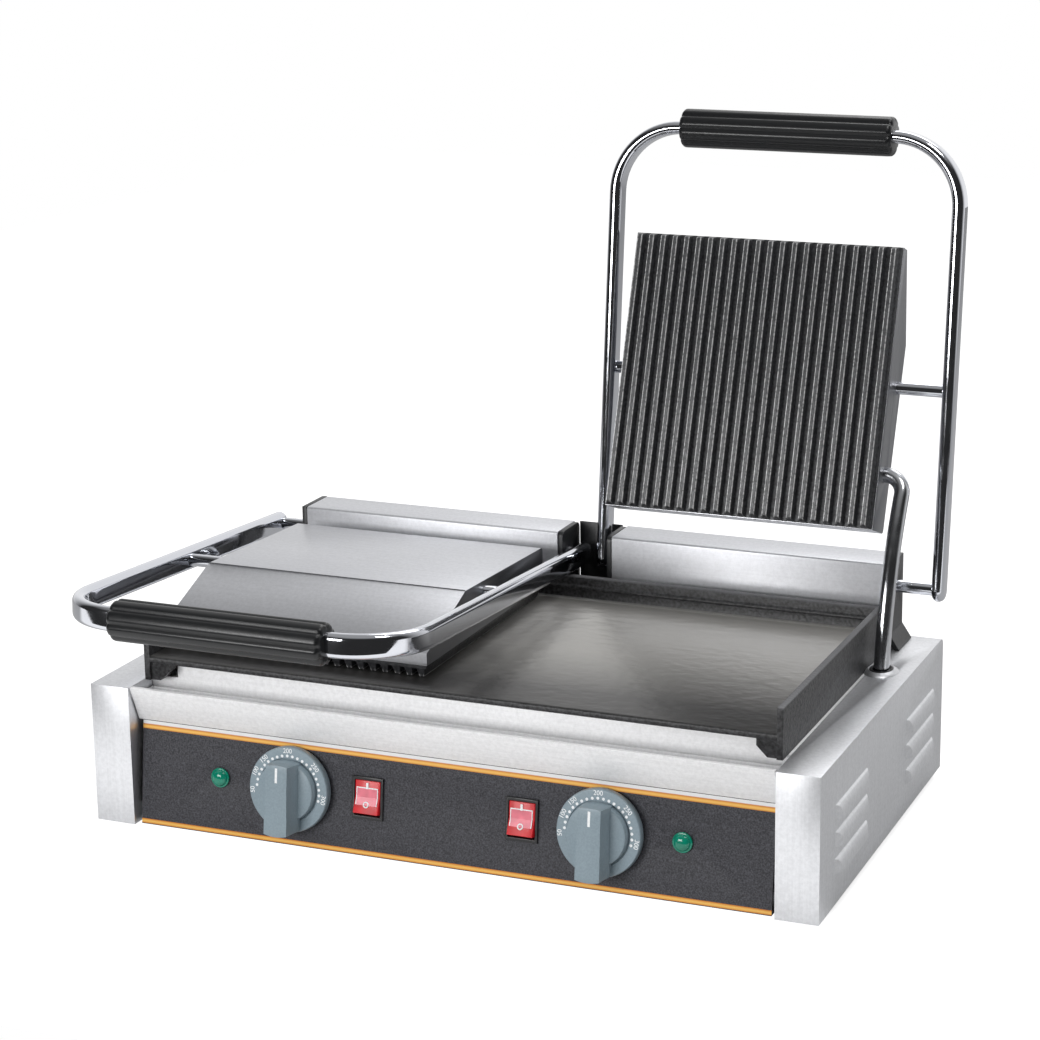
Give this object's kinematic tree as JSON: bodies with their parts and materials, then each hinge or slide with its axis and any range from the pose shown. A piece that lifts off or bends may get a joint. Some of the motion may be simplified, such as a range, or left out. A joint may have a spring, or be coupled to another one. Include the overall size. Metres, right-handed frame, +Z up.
{
  "type": "contact grill",
  "caption": "Countertop contact grill with a smooth lower plate, ribbed upper plates on hinged lids with bent handles, louvred ends and a pull-out drip tray.",
  "frame": {"origin": "centre of the bounding box in X and Y, at the underside of the feet", "axes": "+X to the viewer's right along the front panel, +Y to the back where the lids hinge, +Z up"},
  "size_m": [0.5848, 0.4165, 0.5216],
  "materials": {
    "body_steel": "brushed stainless sheet",
    "galvanised": "plain galvanised sheet",
    "panel_paint": "fine textured dark grey",
    "lower_iron": "seasoned smooth casting",
    "ribbed_iron": "grainy black casting",
    "black_paint": "satin black",
    "chrome": "polished",
    "spring_steel": "drawn wire",
    "element": "heat stained sheath",
    "knob_plastic": "blue grey with white marks",
    "black_plastic": "satin black",
    "red_plastic": "translucent red",
    "green_lens": "translucent green",
    "terminal_plastic": "cream thermoset",
    "foot_rubber": "matt black"
  },
  "bodies": {
    "body": {"bottom_pan": "galvanised", "front_panel": "panel_paint", "rear_panel": "body_steel", "top_frame": "body_steel", "lower_plate": "lower_iron", "center_channel": "black_paint", "terminal_block": "terminal_plastic", "cable_gland": "black_plastic", "left_end_cover": "body_steel", "left_conduit_bush": "black_plastic", "left_front_foot": "foot_rubber", "left_rear_foot": "foot_rubber", "left_lower_element": "element", "left_thermostat": "galvanised", "left_switch_body": "black_plastic", "left_pilot_lens": "green_lens", "left_pilot_body": "black_plastic", "left_hinge_box": "body_steel", "left_inner_bracket": "black_paint", "left_outer_bracket": "black_paint", "left_torsion_spring": "spring_steel", "right_end_cover": "body_steel", "right_conduit_bush": "black_plastic", "right_front_foot": "foot_rubber", "right_rear_foot": "foot_rubber", "right_lower_element": "element", "right_thermostat": "galvanised", "right_switch_body": "black_plastic", "right_pilot_lens": "green_lens", "right_pilot_body": "black_plastic", "right_hinge_box": "body_steel", "right_inner_bracket": "black_paint", "right_outer_bracket": "black_paint", "right_torsion_spring": "spring_steel"},
    "tray": {"drip_tray": "body_steel"},
    "left_lid": {"left_handle_bar": "chrome", "left_grip": "black_plastic", "left_pivot_shaft": "chrome", "left_tilt_rod": "chrome"},
    "left_plate": {"left_upper_plate": "ribbed_iron", "left_upper_cover": "body_steel", "left_upper_element": "element"},
    "left_conduit": {"left_conduit": "chrome"},
    "left_knob": {"left_knob": "knob_plastic", "left_spindle": "galvanised"},
    "left_rocker": {"left_rocker": "red_plastic"},
    "right_lid": {"right_handle_bar": "chrome", "right_grip": "black_plastic", "right_pivot_shaft": "chrome", "right_tilt_rod": "chrome"},
    "right_plate": {"right_upper_plate": "ribbed_iron", "right_upper_cover": "body_steel", "right_upper_element": "element"},
    "right_conduit": {"right_conduit": "chrome"},
    "right_knob": {"right_knob": "knob_plastic", "right_spindle": "galvanised"},
    "right_rocker": {"right_rocker": "red_plastic"}
  },
  "joints": [
    {"name": "tray_slide", "type": "slide", "parent": "body", "child": "tray", "axis": [0, -1, 0], "range_m": [0, 0.06]},
    {"name": "left_lid_hinge", "type": "hinge", "parent": "body", "child": "left_lid", "pos_m": [-0.15, 0.15247, 0.1625], "axis": [1, 0, 0], "range_deg": [-93.1, 0]},
    {"name": "left_plate_tilt", "type": "hinge", "parent": "left_lid", "child": "left_plate", "pos_m": [-0.137, -0.00142, 0.17218], "axis": [1, 0, 0], "range_deg": [-16.9, 0]},
    {"name": "left_conduit_turn", "type": "hinge", "parent": "left_plate", "child": "left_conduit", "pos_m": [-0.25, 0.06728, 0.16238], "axis": [1, 0, 0], "range_deg": [0, 62.4]},
    {"name": "left_knob_turn", "type": "hinge", "parent": "body", "child": "left_knob", "pos_m": [-0.1223, -0.14116, 0.05149], "axis": [0, -0.993, 0.1179], "range_deg": [-150, 100]},
    {"name": "left_rocker_tilt", "type": "hinge", "parent": "body", "child": "left_rocker", "pos_m": [-0.061, -0.13778, 0.05109], "axis": [1, 0, 0], "range_deg": [0, 18]},
    {"name": "right_lid_hinge", "type": "hinge", "parent": "body", "child": "right_lid", "pos_m": [0.15, 0.15247, 0.1625], "axis": [1, 0, 0], "range_deg": [0, 93.1]},
    {"name": "right_plate_tilt", "type": "hinge", "parent": "right_lid", "child": "right_plate", "pos_m": [0.137, 0.17047, 0.31565], "axis": [1, 0, 0], "range_deg": [0, 16.9]},
    {"name": "right_conduit_turn", "type": "hinge", "parent": "right_plate", "child": "right_conduit", "pos_m": [0.25, 0.13776, 0.25444], "axis": [1, 0, 0], "range_deg": [-62.4, 0]},
    {"name": "right_knob_turn", "type": "hinge", "parent": "body", "child": "right_knob", "pos_m": [0.1223, -0.14116, 0.05149], "axis": [0, -0.993, 0.1179], "range_deg": [-150, 100]},
    {"name": "right_rocker_tilt", "type": "hinge", "parent": "body", "child": "right_rocker", "pos_m": [0.061, -0.13778, 0.05109], "axis": [1, 0, 0], "range_deg": [0, 18]}
  ],
  "couplings": [
    {"joint": "left_plate_tilt", "follows": "left_lid_hinge", "ratio": 0.1815},
    {"joint": "left_conduit_turn", "follows": "left_lid_hinge", "ratio": -0.6702},
    {"joint": "right_plate_tilt", "follows": "right_lid_hinge", "ratio": 0.1815},
    {"joint": "right_conduit_turn", "follows": "right_lid_hinge", "ratio": -0.6702}
  ]
}
